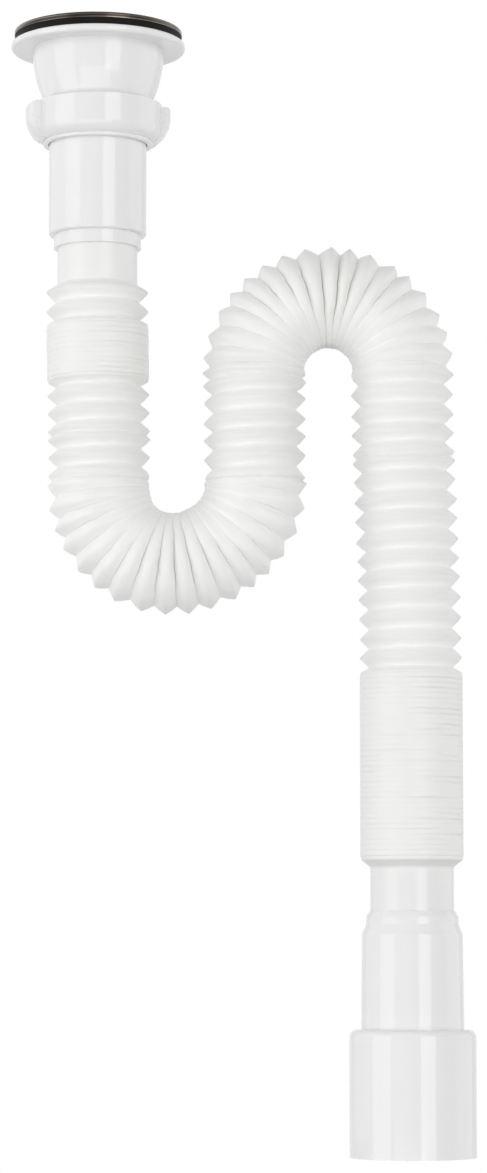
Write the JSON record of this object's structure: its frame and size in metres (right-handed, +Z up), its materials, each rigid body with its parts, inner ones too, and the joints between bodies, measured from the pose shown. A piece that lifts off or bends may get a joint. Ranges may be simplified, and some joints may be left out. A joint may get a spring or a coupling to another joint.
{
  "type": "corrugated sink trap",
  "caption": "Flexible sink waste: strainer and flanged funnel, union nut, corrugated hose bent into a water-seal trap, and a stepped outlet cuff for drain pipes.",
  "frame": {"origin": "centre of the gasket's top face, where the sink sits", "axes": "+Z up along the inlet's axis; +X towards the outlet, in the plane of the hose; +Y away from the viewer"},
  "size_m": [0.1851, 0.07, 0.4495],
  "materials": {
    "steel": "pressed and polished stainless steel",
    "rubber": "black moulded rubber",
    "brass": "turned brass",
    "white_moulding": "glossy white polypropylene",
    "white_hose": "satin white blow-moulded polypropylene"
  },
  "bodies": {
    "waste": {"waste_funnel": "white_moulding", "flange_gasket": "rubber", "strainer": "steel", "screw_insert": "brass", "union_washer": "rubber"},
    "screw": {"strainer_screw": "steel"},
    "nut": {"union_nut": "white_moulding"},
    "hose": {"inlet_cuff": "white_moulding", "corrugated_hose": "white_hose"},
    "outlet": {"outlet_cuff": "white_moulding"}
  },
  "joints": [
    {"name": "nut_turn", "type": "hinge", "parent": "waste", "child": "nut", "pos_m": [0, 0, -0.036], "axis": [0, 0, 1], "continuous": true},
    {"name": "screw_turn", "type": "hinge", "parent": "waste", "child": "screw", "pos_m": [0, 0, -0.02], "axis": [0, 0, 1], "continuous": true},
    {"name": "hose_swivel", "type": "hinge", "parent": "waste", "child": "hose", "pos_m": [0, 0, -0.06], "axis": [0, 0, 1], "continuous": true},
    {"name": "outlet_pull", "type": "slide", "parent": "hose", "child": "outlet", "axis": [0, 0, -1], "range_m": [0, 0.2], "deforming": ["corrugated_hose"]}
  ]
}
